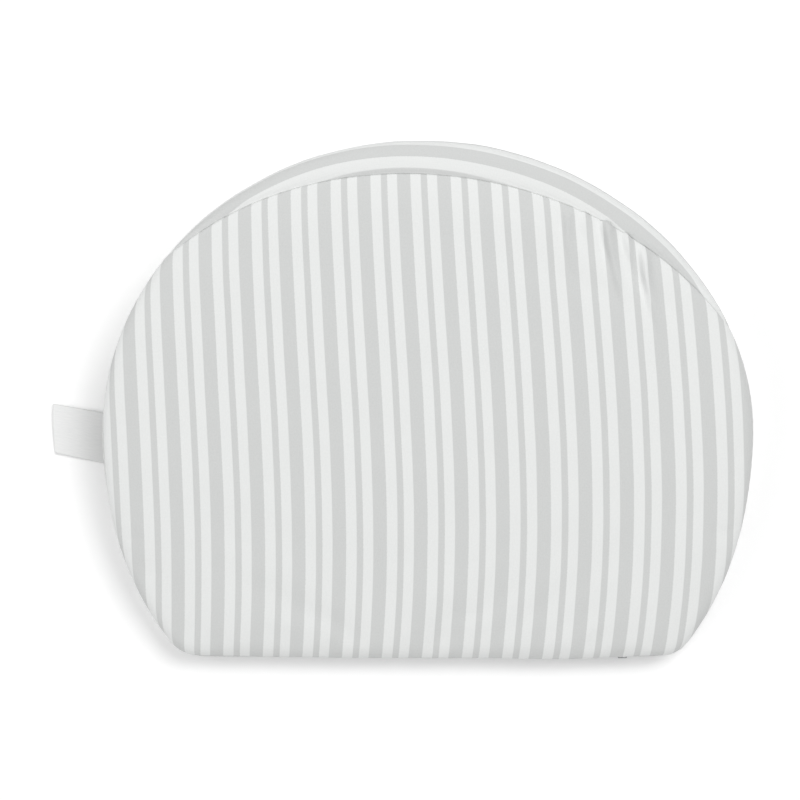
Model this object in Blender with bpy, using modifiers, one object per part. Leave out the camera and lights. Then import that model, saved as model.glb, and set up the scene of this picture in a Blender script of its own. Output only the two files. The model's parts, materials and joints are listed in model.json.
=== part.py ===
"""D-shaped support wedge pillow: a foam wedge in a sewn liner, inside a zip-off striped cover.

The pillow lies on its flat back panel.  X is the width, Y runs from the thin straight edge (-Y)
to the thick curved crown (+Y), Z is up.  The origin is the middle of the back panel's underside.
"""
import math

import bmesh
import bpy
import numpy as np
from mathutils import Matrix, Vector

# Outline of the pillow, seen from above
HALF_WIDTH = 0.210       # middle to the widest point of each side
CROWN_REACH = 0.191      # line of the widest points to the top of the crown
FRONT_REACH = 0.140      # line of the widest points to the straight edge
TAPER_REACH = 0.214      # how far the lower sides would reach if the straight edge didn't cut them
CORNER_RADIUS = 0.022    # round corners where the sides meet the straight edge

# Heights
CROWN_HEIGHT = 0.110     # thick end
EDGE_HEIGHT = 0.032      # thin straight edge
EDGE_ROUND = 0.008       # round on the upper edge, outside the cover

# Cloth and foam layers
COVER_CLOTH = 0.0012     # quilted-weight jersey with its backing
COVER_EASE = 0.0012      # slack between the cover and the liner
LINER_CLOTH = 0.0008
LINER_EASE = 0.0004      # slack between the liner and the foam
GAP = 0.0003             # between pieces that are sewn or pressed together
SEAM_GAP = 0.0008        # between face and gusset, whose edges meet along a curved seam

# The front seam rolls over the crown onto the sloping face
SEAM_ROLL = 0.0204       # furthest the seam sits inside the outline
SEAM_ROLL_CENTRE = math.radians(7.9)    # clockwise from the crown
SEAM_ROLL_HALF = math.radians(59.6)     # where the seam is back on the outline
FACE_MARGIN = 0.006      # the face is modelled flat from this far inside its seam or its round

# Zip in the thin edge
ZIP_ROOM = 0.0042        # extra room behind the zip, in front of the liner
ZIP_END_MARGIN = 0.006   # straight edge left beyond each end of the tape
ZIP_OPENING = 0.011      # height of the gap between the two edge strips
HEM_THICKNESS = 0.0024   # each strip is turned under at the opening, so it is double
TAPE_WIDTH = 0.0084
TAPE_CLOTH = 0.0006
COIL_WIDTH = 0.0022
COIL_THICKNESS = 0.0014
CHAIN_SLOT = 0.0016      # between the two halves of the chain, where the slider's post runs
STOP_LENGTH = 0.003
STOP_INSET = 0.004       # end of the tape to the outer end of a stop
STOP_WRAP = 0.0006       # thickness of a stop on its coil

# Slider and pull tab
SLIDER_LENGTH = 0.0095
SLIDER_PLATE = 0.0007
SLIDER_RAIL = 0.0008
SLIDER_RAIL_DEPTH = 0.0012
POST_LENGTH = 0.003
POST_THICKNESS = 0.0010
BRIDGE_LENGTH = 0.006
BRIDGE_WIDTH = 0.002
BRIDGE_WALL = 0.0006
BRIDGE_ROOM = 0.0014     # height of the eye under the bridge
TAB_THICKNESS = 0.0008
TAB_WIDTH = 0.0062
TAB_LENGTH = 0.022
TAB_BAR = 0.0008
TAB_EYE_LENGTH = 0.0042
TAB_ARM = 0.0010

# Labels
LABEL_LENGTH = 0.0335    # how far the folded ribbon stands out of the seam
LABEL_WIDTH = 0.034
LABEL_THICKNESS = 0.0010
LABEL_SKEW = math.radians(7)
LABEL_HEIGHT = 0.0016    # underside of the ribbon above the floor
LABEL_HINGE = 0.0008     # the ribbon bends up this far outside the seam
CARE_LABEL = (0.045, 0.030)
LAW_LABEL = (0.070, 0.050)
INNER_LABEL_CLOTH = 0.0004

# Steps used for the curved stretches
CORNER_STEPS = 4
LOWER_STEPS = 7
UPPER_STEPS = 14
STRAIGHT_STEPS = 6
GUSSET_STEPS = 6
PANEL_STEPS = 6
GUSSET_DETAIL = 0.030    # length of gusset below the seam that takes the finer steps
SEAM_STEP = 0.0008       # short first step beside a seam, so that two edges meet square

DEPTH = CROWN_REACH + FRONT_REACH
FRONT_Y = -DEPTH / 2
WIDEST_Y = FRONT_Y + FRONT_REACH
SLOPE = (CROWN_HEIGHT - EDGE_HEIGHT) / DEPTH
SLOPE_COS = 1 / math.hypot(1, SLOPE)
LINER_DEPTH = COVER_CLOTH + COVER_EASE
FOAM_DEPTH = LINER_DEPTH + LINER_CLOTH + LINER_EASE
WALL_TOP = EDGE_HEIGHT - EDGE_ROUND
ZIP_Z = (COVER_CLOTH + WALL_TOP) / 2


# ---------------------------------------------------------------- helpers

def collection(name):
    made = bpy.data.collections.new(name)
    bpy.context.scene.collection.children.link(made)
    return made


for old in list(bpy.data.objects):
    bpy.data.objects.remove(old, do_unlink=True)
PARTS = collection("support_wedge_pillow")
CUTTERS = collection("cutters")


def finish(obj, colour, roughness, metallic=0.0):
    """Give a sub-part its own material."""
    material = bpy.data.materials.new(obj.name)
    material.use_nodes = True
    shader = material.node_tree.nodes["Principled BSDF"]
    shader.inputs["Base Color"].default_value = (*colour, 1.0)
    shader.inputs["Roughness"].default_value = roughness
    shader.inputs["Metallic"].default_value = metallic
    obj.data.materials.clear()
    obj.data.materials.append(material)
    return obj


def object_from(name, vertices, faces, home=None):
    mesh = bpy.data.meshes.new(name)
    mesh.from_pydata([tuple(v) for v in vertices], [], faces)
    mesh.update()
    obj = bpy.data.objects.new(name, mesh)
    (home or PARTS).objects.link(obj)
    return obj


def block(name, low, high, home=None):
    """A box between two corners, from a primitive cube."""
    low = Vector(low)
    high = Vector(high)
    shape = bmesh.new()
    bmesh.ops.create_cube(shape, size=1.0)
    bmesh.ops.scale(shape, vec=high - low, verts=shape.verts)
    bmesh.ops.translate(shape, vec=(low + high) / 2, verts=shape.verts)
    mesh = bpy.data.meshes.new(name)
    shape.to_mesh(mesh)
    shape.free()
    obj = bpy.data.objects.new(name, mesh)
    (home or PARTS).objects.link(obj)
    return obj


def combine(obj, other, operation):
    """Join or cut a sub-part with a hidden helper solid."""
    other.hide_render = True
    other.display_type = "WIRE"
    step = obj.modifiers.new(operation.lower() + "_" + other.name, "BOOLEAN")
    step.operation = operation
    step.solver = "EXACT"
    step.object = other


def flat_outline(name, outlines, thickness, place, home=None):
    """A plate from closed flat outlines, centred on its own plane, then put in its place."""
    curve = bpy.data.curves.new(name, "CURVE")
    curve.dimensions = "2D"
    curve.fill_mode = "BOTH"
    curve.extrude = thickness / 2
    for points in outlines:
        spline = curve.splines.new("POLY")
        spline.points.add(len(points) - 1)
        for slot, (x, y) in zip(spline.points, points):
            slot.co = (x, y, 0, 1)
        spline.use_cyclic_u = True
    drawn = bpy.data.objects.new(name + "_curve", curve)
    (home or PARTS).objects.link(drawn)
    drawn.matrix_world = place
    bpy.context.view_layer.update()
    evaluated = drawn.evaluated_get(bpy.context.evaluated_depsgraph_get())
    mesh = bpy.data.meshes.new_from_object(evaluated)
    shape = bmesh.new()
    shape.from_mesh(mesh)
    bmesh.ops.remove_doubles(shape, verts=shape.verts, dist=0.00001)
    bmesh.ops.recalc_face_normals(shape, faces=shape.faces)
    shape.to_mesh(mesh)
    shape.free()
    obj = bpy.data.objects.new(name, mesh)
    (home or PARTS).objects.link(obj)
    obj.matrix_world = place
    bpy.data.objects.remove(drawn, do_unlink=True)
    return obj


# ---------------------------------------------------------------- the D outline and the skin

def corner_angle(front):
    """Angle on the lower ellipse where the corner's round starts, by halving."""
    low, high = math.radians(-85), 0.0
    for _ in range(60):
        middle = (low + high) / 2
        nx = math.cos(middle) / HALF_WIDTH
        ny = math.sin(middle) / TAPER_REACH
        ny /= math.hypot(nx, ny)
        height = WIDEST_Y + TAPER_REACH * math.sin(middle) - CORNER_RADIUS * ny
        if height > front + CORNER_RADIUS:
            high = middle
        else:
            low = middle
    return (low + high) / 2


def ellipse_stations(angles, reach):
    """Points on one ellipse and their outward directions; angles run from +X towards +Y."""
    points = np.column_stack([HALF_WIDTH * np.cos(angles), WIDEST_Y + reach * np.sin(angles)])
    normals = np.column_stack([np.cos(angles) / HALF_WIDTH, np.sin(angles) / reach])
    normals /= np.linalg.norm(normals, axis=1)[:, None]
    return points, normals


def d_outline(setback=0.0):
    """The curved side from the right corner over the crown to the left corner.

    Gives points, outward directions, and each point's angle from the crown, clockwise positive.
    The lower ellipse is cut by the straight edge, and the cut corner is a round of CORNER_RADIUS.
    """
    front = FRONT_Y + setback
    start = corner_angle(front)
    lower, lower_out = ellipse_stations(np.linspace(start, 0, LOWER_STEPS + 1), TAPER_REACH)
    upper, upper_out = ellipse_stations(np.linspace(0, math.pi / 2, UPPER_STEPS + 1), CROWN_REACH)
    centre = lower[0] - CORNER_RADIUS * lower_out[0]
    turn = math.atan2(lower_out[0][1], lower_out[0][0])
    round_angles = np.linspace(-math.pi / 2, turn, CORNER_STEPS + 1)
    round_out = np.column_stack([np.cos(round_angles), np.sin(round_angles)])
    corner = centre + CORNER_RADIUS * round_out
    right = np.vstack([corner[:-1], lower[:-1], upper])
    right_out = np.vstack([round_out[:-1], lower_out[:-1], upper_out])
    left = right[-2::-1] * [-1, 1]
    left_out = right_out[-2::-1] * [-1, 1]
    points = np.vstack([right, left])
    outward = np.vstack([right_out, left_out])
    clock = np.arctan2(points[:, 0] / HALF_WIDTH, (points[:, 1] - WIDEST_Y) / CROWN_REACH)
    return points, outward, clock


def closed_outline(setback=0.0):
    """The curved side and the straight edge as one closed ring."""
    points, outward, clock = d_outline(setback)
    across = np.linspace(points[-1][0], points[0][0], STRAIGHT_STEPS + 1)[1:-1]
    straight = np.column_stack([across, np.full(len(across), points[0][1])])
    down = np.tile([0.0, -1.0], (len(across), 1))
    return (np.vstack([points, straight]), np.vstack([outward, down]),
            np.concatenate([clock, np.full(len(across), math.pi)]))


def face_height(y, depth):
    """Height of the sloping face, for a layer `depth` inside the cover's outer surface."""
    return EDGE_HEIGHT + SLOPE * (y - FRONT_Y) - depth / SLOPE_COS


def skin(stations, depth, travel):
    """Points on a layer.  travel is the way along the skin from the foot of the upper round:
    negative down the wall, then round the edge, then inwards over the sloping face."""
    points, outward, _ = stations
    radius = EDGE_ROUND - depth
    quarter = radius * math.pi / 2
    turned = np.clip(travel, 0, quarter) / radius
    inset = radius * (1 - np.cos(turned)) + np.clip(travel - quarter, 0, None)
    place = points[:, None, :] - outward[:, None, :] * (depth + inset)[:, :, None]
    drop = radius * (1 - np.sin(turned)) - np.clip(travel, None, 0)
    height = face_height(place[:, :, 1], depth) - drop
    return np.dstack([place, height])


def travel_at_inset(inset):
    """Way along the cover's outer skin at which it is `inset` inside the outline."""
    on_round = EDGE_ROUND * np.arccos(np.clip(1 - inset / EDGE_ROUND, 0, 1))
    on_face = EDGE_ROUND * math.pi / 2 + inset - EDGE_ROUND
    return np.where(inset < EDGE_ROUND, on_round, on_face)


def seam_inset(stations):
    """How far the seam between the face and the gusset has rolled inside the outline."""
    away = (stations[2] - SEAM_ROLL_CENTRE) / SEAM_ROLL_HALF * math.pi / 2
    return SEAM_ROLL * np.where(np.abs(away) < math.pi / 2, np.cos(away), 0.0)


def wall_height(stations, depth, foot):
    """Height of each station's wall from foot to the upper round."""
    points, outward, _ = stations
    edge = points[:, 1] - outward[:, 1] * depth
    return face_height(edge, depth) - (EDGE_ROUND - depth) - foot


def sheet(name, grid, closed=False, cap=False, thickness=COVER_CLOTH):
    """Cloth from a grid of points (stations, steps), its thickness grown inwards."""
    around, along = grid.shape[:2]
    spans = around if closed else around - 1
    faces = []
    for i in range(spans):
        j = (i + 1) % around
        for k in range(along - 1):
            faces.append((i * along + k, j * along + k, j * along + k + 1, i * along + k + 1))
    if cap:
        faces.append([i * along + along - 1 for i in range(around)])
    obj = object_from(name, grid.reshape(-1, 3), faces)
    solid = obj.modifiers.new("cloth", "SOLIDIFY")
    solid.thickness = thickness
    solid.offset = -1
    solid.use_even_offset = True
    solid.use_rim = True
    return obj


def flat_panel(name, stations, inset, foot, thickness):
    """A flat D-shaped panel lying at height foot."""
    rim = stations[0] - stations[1] * inset
    return flat_outline(name, [rim], thickness, Matrix.Translation((0, 0, foot + thickness / 2)))


# ---------------------------------------------------------------- foam wedge

def foam_core():
    """One block of foam, cut to the D and sliced to a wedge, its upper edge eased."""
    ring = closed_outline(ZIP_ROOM)
    foot = FOAM_DEPTH
    quarter = (EDGE_ROUND - FOAM_DEPTH) * math.pi / 2
    wall = wall_height(ring, FOAM_DEPTH, foot)
    travel = np.column_stack([-wall] + [np.full(len(wall), quarter * k / 3) for k in range(4)])
    grid = skin(ring, FOAM_DEPTH, travel)
    around, along = grid.shape[:2]
    faces = []
    for i in range(around):
        j = (i + 1) % around
        for k in range(along - 1):
            faces.append((i * along + k, j * along + k, j * along + k + 1, i * along + k + 1))
    faces.append([i * along + along - 1 for i in range(around)])
    faces.append([i * along for i in reversed(range(around))])
    foam = object_from("foam_core", grid.reshape(-1, 3), faces)
    return finish(foam, (0.90, 0.86, 0.72), 0.9)


# ---------------------------------------------------------------- liner sewn round the foam

def liner():
    """White liner: sloping top panel, base panel, a gusset round the curve and an edge strip."""
    white = (0.86, 0.87, 0.87)
    ring = closed_outline(ZIP_ROOM)
    curve = d_outline(ZIP_ROOM)
    radius = EDGE_ROUND - LINER_DEPTH
    quarter = radius * math.pi / 2
    seam = quarter + GAP / 2
    inner = np.tile([seam + GAP / 2, seam + FACE_MARGIN], (len(ring[0]), 1))
    top = sheet("liner_top_panel", skin(ring, LINER_DEPTH, inner), closed=True, cap=True,
                thickness=LINER_CLOTH)
    base = flat_panel("liner_base_panel", ring, LINER_DEPTH, LINER_DEPTH, LINER_CLOTH)
    foot = LINER_DEPTH + LINER_CLOTH + GAP

    def wall_grid(stations):
        wall = wall_height(stations, LINER_DEPTH, foot)
        rounds = [np.full(len(wall), quarter * k / 3) for k in range(3)]
        last = np.full(len(wall), seam - GAP / 2)
        return skin(stations, LINER_DEPTH, np.column_stack([-wall] + rounds + [last]))

    gusset = sheet("liner_gusset", wall_grid(curve), thickness=LINER_CLOTH)
    # the edge strip runs along the straight edge, from the left end of the curve to its right end
    half = curve[0][0][0] - GAP
    ends = np.array([[-half, curve[0][0][1]], [half, curve[0][0][1]]])
    down = np.tile([0.0, -1.0], (2, 1))
    strip = sheet("liner_edge_strip", wall_grid((ends, down, np.full(2, math.pi))),
                  thickness=LINER_CLOTH)
    for piece in (top, base, gusset, strip):
        finish(piece, white, 0.95)


# ---------------------------------------------------------------- zip-off cover

def cover():
    """Striped jersey cover: face, back, a tapered gusset strip and two hemmed strips beside the zip."""
    grey_white = (0.80, 0.81, 0.81)
    ring = closed_outline()
    curve = d_outline()

    seam = travel_at_inset(seam_inset(ring)) + SEAM_GAP / 2
    inner = travel_at_inset(np.maximum(seam_inset(ring), EDGE_ROUND) + FACE_MARGIN)
    share = np.linspace(0, 1, PANEL_STEPS + 1)
    travel = seam[:, None] + SEAM_STEP + (inner - seam - SEAM_STEP)[:, None] * share
    travel = np.column_stack([seam, travel])
    front = sheet("cover_front_panel", skin(ring, 0.0, travel), closed=True, cap=True)

    back = flat_panel("cover_back_panel", ring, 0.0, 0.0, COVER_CLOTH)

    foot = COVER_CLOTH + GAP
    seam = travel_at_inset(seam_inset(curve)) - SEAM_GAP / 2
    wall = wall_height(curve, 0.0, foot)
    detail = np.minimum(GUSSET_DETAIL, 0.8 * (wall + seam))
    share = np.linspace(1, 0, GUSSET_STEPS + 1)
    travel = seam[:, None] - SEAM_STEP - detail[:, None] * share
    travel = np.column_stack([-wall, travel, seam])
    gusset = sheet("cover_gusset", skin(curve, 0.0, travel))

    half = curve[0][0][0] - GAP
    strips = {"cover_edge_strip_lower": (foot, ZIP_Z - ZIP_OPENING / 2),
              "cover_edge_strip_upper": (ZIP_Z + ZIP_OPENING / 2, WALL_TOP - SEAM_GAP / 2)}
    made = [block(name, (-half, FRONT_Y, low), (half, FRONT_Y + HEM_THICKNESS, high))
            for name, (low, high) in strips.items()]
    for piece in [front, back, gusset] + made:
        finish(piece, grey_white, 0.92)


# ---------------------------------------------------------------- zip

def zip_parts():
    """Coil zip sewn behind the edge strips, with its slider at the closed end."""
    tape_half = d_outline()[0][0][0] - ZIP_END_MARGIN
    tape_out = FRONT_Y + HEM_THICKNESS + GAP
    tape_in = tape_out + TAPE_CLOTH
    coil_in = tape_out - GAP
    coil_out = coil_in - COIL_THICKNESS
    near = CHAIN_SLOT / 2
    stop_out = tape_half - STOP_INSET
    coil_half = stop_out + STOP_INSET / 2
    stop_in = stop_out - STOP_LENGTH

    for name, side in (("upper", 1), ("lower", -1)):
        def span(start, width):
            return sorted((ZIP_Z + side * start, ZIP_Z + side * (start + width)))
        low, high = span(near, TAPE_WIDTH)
        tape = block("zip_tape_" + name, (-tape_half, tape_out, low), (tape_half, tape_in, high))
        finish(tape, (0.82, 0.83, 0.83), 0.85)
        low, high = span(near, COIL_WIDTH)
        coil = block("zip_coil_" + name, (-coil_half, coil_out, low), (coil_half, coil_in, high))
        bevel = coil.modifiers.new("round", "BEVEL")
        bevel.width = COIL_THICKNESS / 3
        bevel.segments = 2
        finish(coil, (0.78, 0.79, 0.79), 0.4)
        # a top stop is a small clip in front of its own coil, at the closed end
        low, high = span(near, COIL_WIDTH)
        stop = block("zip_top_stop_" + name, (stop_in, coil_out - GAP - STOP_WRAP, low),
                     (stop_out, coil_out - GAP, high))
        finish(stop, (0.62, 0.63, 0.64), 0.35, 1.0)

    low = ZIP_Z - near - COIL_WIDTH
    high = ZIP_Z + near + COIL_WIDTH
    stop = block("zip_bottom_stop", (-stop_out, coil_out - GAP - STOP_WRAP, low),
                 (-stop_in, coil_out - GAP, high))
    finish(stop, (0.62, 0.63, 0.64), 0.35, 1.0)

    slide_x = stop_in - GAP - SLIDER_LENGTH / 2
    plate_in = coil_out - GAP
    plate_out = plate_in - SLIDER_PLATE
    back_out = tape_in + GAP
    back_in = back_out + SLIDER_PLATE
    rail_in = near + COIL_WIDTH + GAP
    half_height = rail_in + SLIDER_RAIL
    x0 = slide_x - SLIDER_LENGTH / 2
    x1 = slide_x + SLIDER_LENGTH / 2
    slider = block("zip_slider", (x0, plate_out, ZIP_Z - half_height),
                   (x1, plate_in, ZIP_Z + half_height))
    centre = Vector((slide_x, plate_in, ZIP_Z))
    slider.data.transform(Matrix.Translation(-centre))
    slider.location = centre
    joins = [block("slider_back", (x0, back_out, ZIP_Z - half_height),
                   (x1, back_in, ZIP_Z + half_height), CUTTERS),
             block("slider_post",
                   (slide_x - POST_LENGTH / 2, plate_in - SLIDER_PLATE / 2,
                    ZIP_Z - POST_THICKNESS / 2),
                   (slide_x + POST_LENGTH / 2, back_out + SLIDER_PLATE / 2,
                    ZIP_Z + POST_THICKNESS / 2), CUTTERS)]
    for side in (1, -1):
        low, high = sorted((ZIP_Z + side * rail_in, ZIP_Z + side * half_height))
        joins.append(block("slider_rail", (x0, plate_in - SLIDER_PLATE / 2, low),
                           (x1, plate_in + SLIDER_RAIL_DEPTH, high), CUTTERS))
    bridge_out = plate_out - BRIDGE_ROOM - BRIDGE_WALL
    joins.append(block("slider_bridge",
                       (slide_x - BRIDGE_LENGTH / 2, bridge_out, ZIP_Z - BRIDGE_WIDTH / 2),
                       (slide_x + BRIDGE_LENGTH / 2, plate_out + SLIDER_PLATE / 2,
                        ZIP_Z + BRIDGE_WIDTH / 2), CUTTERS))
    for other in joins:
        combine(slider, other, "UNION")
    eye_half = BRIDGE_LENGTH / 2 - BRIDGE_WALL
    eye = block("bridge_eye", (slide_x - eye_half, plate_out - BRIDGE_ROOM, ZIP_Z - BRIDGE_WIDTH),
                (slide_x + eye_half, plate_out, ZIP_Z + BRIDGE_WIDTH), CUTTERS)
    combine(slider, eye, "DIFFERENCE")
    finish(slider, (0.62, 0.63, 0.64), 0.3, 1.0)

    # the tab is a stamped plate whose bar passes through the bridge's eye
    pivot = Vector((slide_x, plate_out - BRIDGE_ROOM / 2, ZIP_Z))
    eye_half = TAB_WIDTH / 2 - TAB_ARM
    nose = TAB_WIDTH / 2
    bend = np.linspace(math.pi / 2, 3 * math.pi / 2, 13)
    end = -TAB_LENGTH + nose
    outline = [(TAB_BAR / 2, -nose), (TAB_BAR / 2, nose)]
    outline += [(end + nose * math.cos(a), nose * math.sin(a)) for a in bend]
    eye_far = -TAB_BAR / 2 - TAB_EYE_LENGTH
    eye_outline = [(-TAB_BAR / 2, -eye_half), (-TAB_BAR / 2, eye_half),
                   (eye_far, eye_half), (eye_far, -eye_half)]
    place = Matrix.Translation(pivot) @ Matrix.Rotation(math.pi / 2, 4, "X")
    tab = flat_outline("zip_pull_tab", [outline, eye_outline], TAB_THICKNESS, place)
    finish(tab, (0.62, 0.63, 0.64), 0.3, 1.0)


# ---------------------------------------------------------------- labels

def labels():
    """A folded ribbon in the back seam at the left, and two plain labels inside the cover."""
    root = Vector((-HALF_WIDTH - LABEL_HINGE, WIDEST_Y, LABEL_HEIGHT + LABEL_THICKNESS / 2))
    tucked = LABEL_WIDTH / 2
    half = LABEL_WIDTH / 2
    tip = LABEL_HINGE - LABEL_LENGTH
    outline = [(tip, -half), (tucked, -half), (tucked, half), (tip, half)]
    place = Matrix.Translation(root) @ Matrix.Rotation(-LABEL_SKEW, 4, "Z")
    ribbon = flat_outline("side_label", [outline], LABEL_THICKNESS, place)
    points, outward, _ = closed_outline()
    seam_line = flat_outline("seam_line", [points + outward * GAP], 6 * LABEL_THICKNESS,
                             Matrix.Translation((0, 0, root.z)), CUTTERS)
    combine(ribbon, seam_line, "DIFFERENCE")
    finish(ribbon, (0.73, 0.74, 0.75), 0.6)

    low = COVER_CLOTH + (COVER_EASE - INNER_LABEL_CLOTH) / 2
    high = low + INNER_LABEL_CLOTH
    care_x, care_y = CARE_LABEL
    care = block("care_label", (HALF_WIDTH / 2 - care_x / 2, FRONT_Y + 2 * CORNER_RADIUS, low),
                 (HALF_WIDTH / 2 + care_x / 2, FRONT_Y + 2 * CORNER_RADIUS + care_y, high))
    finish(care, (0.80, 0.81, 0.81), 0.6)
    law_x, law_y = LAW_LABEL
    law = block("law_label", (-law_x / 2, WIDEST_Y + CROWN_REACH / 2, low),
                (law_x / 2, WIDEST_Y + CROWN_REACH / 2 + law_y, high))
    finish(law, (0.84, 0.84, 0.83), 0.8)


foam_core()
liner()
cover()
zip_parts()
labels()
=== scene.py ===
import json
import math

import bmesh
import bpy
import numpy as np
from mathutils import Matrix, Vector


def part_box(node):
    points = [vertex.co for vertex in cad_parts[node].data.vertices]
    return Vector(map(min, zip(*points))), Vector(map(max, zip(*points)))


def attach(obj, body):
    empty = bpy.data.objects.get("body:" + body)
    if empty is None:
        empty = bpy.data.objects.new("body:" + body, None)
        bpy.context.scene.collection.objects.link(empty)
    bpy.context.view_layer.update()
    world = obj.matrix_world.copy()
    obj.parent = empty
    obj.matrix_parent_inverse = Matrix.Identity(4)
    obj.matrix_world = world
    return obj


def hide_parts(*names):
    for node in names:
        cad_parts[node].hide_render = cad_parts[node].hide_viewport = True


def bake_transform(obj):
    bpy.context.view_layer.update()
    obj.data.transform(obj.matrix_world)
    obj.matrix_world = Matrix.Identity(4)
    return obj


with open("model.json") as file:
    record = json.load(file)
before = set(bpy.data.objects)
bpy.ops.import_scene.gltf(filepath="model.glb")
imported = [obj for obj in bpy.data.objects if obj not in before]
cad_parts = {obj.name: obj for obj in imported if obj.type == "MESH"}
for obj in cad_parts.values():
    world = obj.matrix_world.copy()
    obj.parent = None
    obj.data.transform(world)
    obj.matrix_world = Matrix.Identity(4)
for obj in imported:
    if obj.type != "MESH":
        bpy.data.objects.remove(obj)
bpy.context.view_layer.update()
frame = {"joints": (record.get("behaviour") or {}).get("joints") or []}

scene = bpy.context.scene


# -------------------------------- foam core
# The pillow is one block of pale polyurethane foam.  It is cut to a D, then sliced to a wedge that
# is thick at the curved crown and thin at the straight edge.  Its upper edge is eased by hand.

back_low, back_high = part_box("cover_back_panel")
half_width = back_high.x
front_y = back_low.y
hinge_points = {joint["name"]: joint["pos_m"] for joint in frame["joints"] if "pos_m" in joint}
widest_y = hinge_points["label_flex"][1]
crown_reach = back_high.y - widest_y
taper_reach = 0.214            # semi-axis of the lower sides, which the straight edge cuts
corner_radius = 0.022
edge_height = 0.032            # thin end, outside the cover
crown_height = 0.110           # thick end, outside the cover
edge_round = 0.008
lean = -0.018                  # the soft block has settled a little to one side
fullness = 0.022               # and its lower sides and right shoulder stand out by up to 4 mm
foam_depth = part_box("foam_core")[0].z
zip_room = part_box("foam_core")[0].y - front_y - foam_depth
slope = (crown_height - edge_height) / (back_high.y - front_y)
slope_cos = 1 / math.hypot(1, slope)
side_count = 92                # stations along each of the four sides of the D


def lengths(line):
    """Length along a line of points, from its first point to each."""
    return np.concatenate([[0], np.cumsum(np.linalg.norm(np.diff(line, axis=0), axis=1))])


def d_outline(setback=0.0):
    """Stations round the D, anticlockwise from the right front corner, as points and outward directions.

    The upper half is a half ellipse, the lower sides are a second ellipse with the same width, and
    the straight edge cuts it; the two cut corners are rounds.  Stations run by length between four
    corners, the middles of the two rounds and the crown at 50 degrees either side.  They are even
    on the left and along the straight edge, and crowd towards the upper right, where the folds are.
    """
    angles = np.linspace(math.radians(-85), 0, 2000)
    out = np.column_stack([np.cos(angles) / half_width, np.sin(angles) / taper_reach])
    out /= np.linalg.norm(out, axis=1)[:, None]
    centre_height = widest_y + taper_reach * np.sin(angles) - corner_radius * out[:, 1]
    start = np.interp(front_y + setback + corner_radius, centre_height, angles)
    lower = np.linspace(start, 0, 400)
    lower = np.column_stack([half_width * np.cos(lower), widest_y + taper_reach * np.sin(lower)])
    upper = np.linspace(0, math.pi / 2, 600)[1:]
    upper = np.column_stack([half_width * np.cos(upper), widest_y + crown_reach * np.sin(upper)])
    first = np.array([math.cos(start) / half_width, math.sin(start) / taper_reach])
    turn = math.atan2(first[1], first[0])
    bend = np.linspace(-math.pi / 2, turn, 120)[:-1]
    corner_centre = lower[0] - corner_radius * np.array([math.cos(turn), math.sin(turn)])
    corner = corner_centre + corner_radius * np.column_stack([np.cos(bend), np.sin(bend)])
    right = np.vstack([corner, lower, upper])
    left = right[::-1][1:] * [-1, 1]
    run = np.linspace(left[-1], right[0], 400)[1:]
    line = np.vstack([right, left, run])
    length = lengths(line)
    crown_turn = math.radians(50)
    shoulder = [half_width * math.sin(crown_turn), widest_y + crown_reach * math.cos(crown_turn)]
    marks = []
    for x, y in (corner[60], shoulder, (-shoulder[0], shoulder[1]), corner[60] * [-1, 1]):
        marks.append(length[np.argmin(np.hypot(line[:, 0] - x, line[:, 1] - y))])
    marks.append(marks[0] + length[-1])
    share = np.arange(side_count) / side_count
    shares = (1 - (1 - share) ** 1.3, share ** 1.3, share, share)
    steps = np.concatenate([a + (b - a) * way for a, b, way in zip(marks[:-1], marks[1:], shares)])
    steps = np.mod(steps, length[-1])
    points = np.column_stack([np.interp(steps, length, line[:, i]) for i in (0, 1)])
    x, y = points.T
    low = np.clip((widest_y - y) / (widest_y - front_y), 0, 1)
    side = half_width * np.exp(-((y - widest_y) / half_width - 0.22) ** 2 / 0.14)
    side *= np.clip((x - 0.08) / 0.08, 0, 1) ** 2
    x = x * (1 + fullness * low ** 2 * (3 - 2 * low)) + 0.7 * fullness * side + lean * y
    points = np.column_stack([x, y])
    ahead = np.roll(points, -1, axis=0) - np.roll(points, 1, axis=0)
    outward = np.column_stack([ahead[:, 1], -ahead[:, 0]])
    outward /= np.linalg.norm(outward, axis=1)[:, None]
    return points, outward


def face_height(y, depth):
    """Height of the sloping face: a plane from the thin edge to the crown, lowered by the depth."""
    return edge_height + slope * (y - front_y) - depth / slope_cos


def skin(points, outward, depth, travel):
    """A layer of the wedge's skin.  travel runs up the wall to zero, round the upper edge by a
    quarter turn, then inwards over the sloping face; depth is how far inside the cover it lies."""
    radius = edge_round - depth
    quarter = radius * math.pi / 2
    turned = np.clip(travel, 0, quarter) / radius
    inset = depth + radius * (1 - np.cos(turned)) + np.clip(travel - quarter, 0, None)
    place = points[:, None, :] - outward[:, None, :] * inset[:, :, None]
    drop = radius * (1 - np.sin(turned)) - np.clip(travel, None, 0)
    return np.dstack([place, face_height(place[:, :, 1], depth) - drop])


def wall_heights(points, outward, depth, foot):
    """Height of the wall at each station, from foot to where the upper edge starts to turn."""
    edge = points[:, 1] - outward[:, 1] * depth
    return face_height(edge, depth) - (edge_round - depth) - foot


def up_and_over(wall, quarter, rows):
    """Travel at each station: up its wall in even rows, then round the edge in four more steps."""
    rise = np.concatenate([np.linspace(-1, 0, rows + 1)[:-1], np.zeros(5)])
    turn = np.concatenate([np.zeros(rows), np.linspace(0, 1, 5)])
    return wall[:, None] * rise + quarter * turn


def grid_faces(rows, columns, wrap=False, first=0):
    """Quads of a grid of rows by columns, its rows joined into a ring if wrap is set."""
    index = first + np.arange(rows * columns).reshape(rows, columns)
    if wrap:
        index = np.vstack([index, index[:1]])
    corners = (index[:-1, :-1], index[1:, :-1], index[1:, 1:], index[:-1, 1:])
    return np.stack(corners, axis=-1).reshape(-1, 4)


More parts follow.
